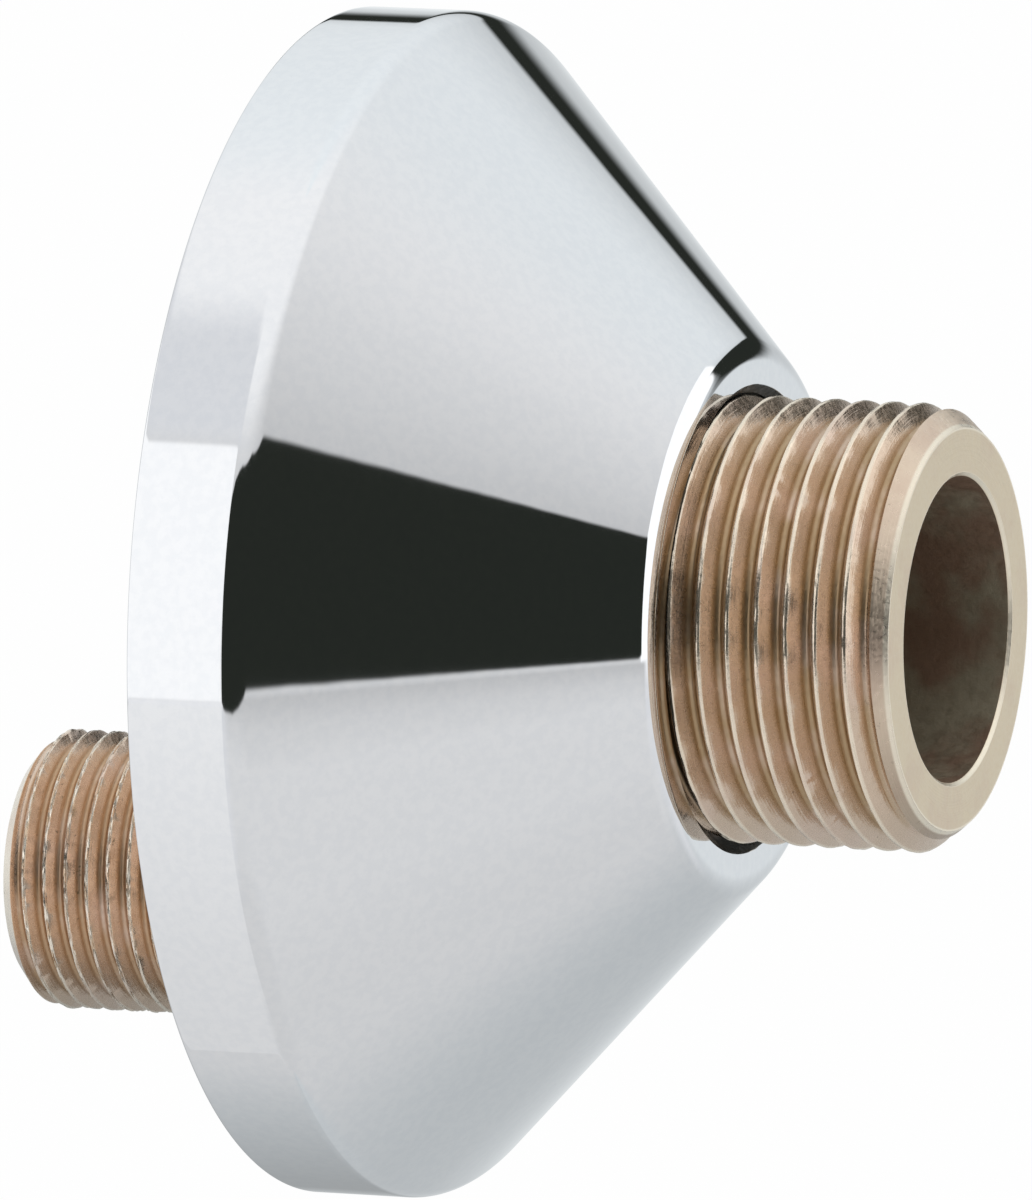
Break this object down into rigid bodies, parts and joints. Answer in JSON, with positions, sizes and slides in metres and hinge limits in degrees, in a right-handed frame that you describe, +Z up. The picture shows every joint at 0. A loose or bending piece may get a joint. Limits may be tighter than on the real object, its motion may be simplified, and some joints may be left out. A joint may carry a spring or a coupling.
{
  "type": "s-union",
  "caption": "Offset wall union for a wall-mounted mixer: a bent brass body with a pipe thread at each end, and a cone-shaped chrome cover that runs on the larger thread.",
  "frame": {"origin": "on the wall thread's axis, in the wall plane that the cover's rim meets", "axes": "+Y into the wall along both thread axes, +Z up from the wall thread towards the mixer thread, +X to the right seen from the room"},
  "size_m": [0.07, 0.0578, 0.07],
  "materials": {
    "brass": "raw cast brass with turned ends and cut threads",
    "chrome": "polished chrome plate"
  },
  "bodies": {
    "union": {"union_body": "brass"},
    "cover": {"escutcheon": "chrome"}
  },
  "joints": [
    {"name": "cover_travel", "type": "slide", "parent": "union", "child": "cover", "axis": [0, -1, 0], "range_m": [0, 0.0127]}
  ]
}
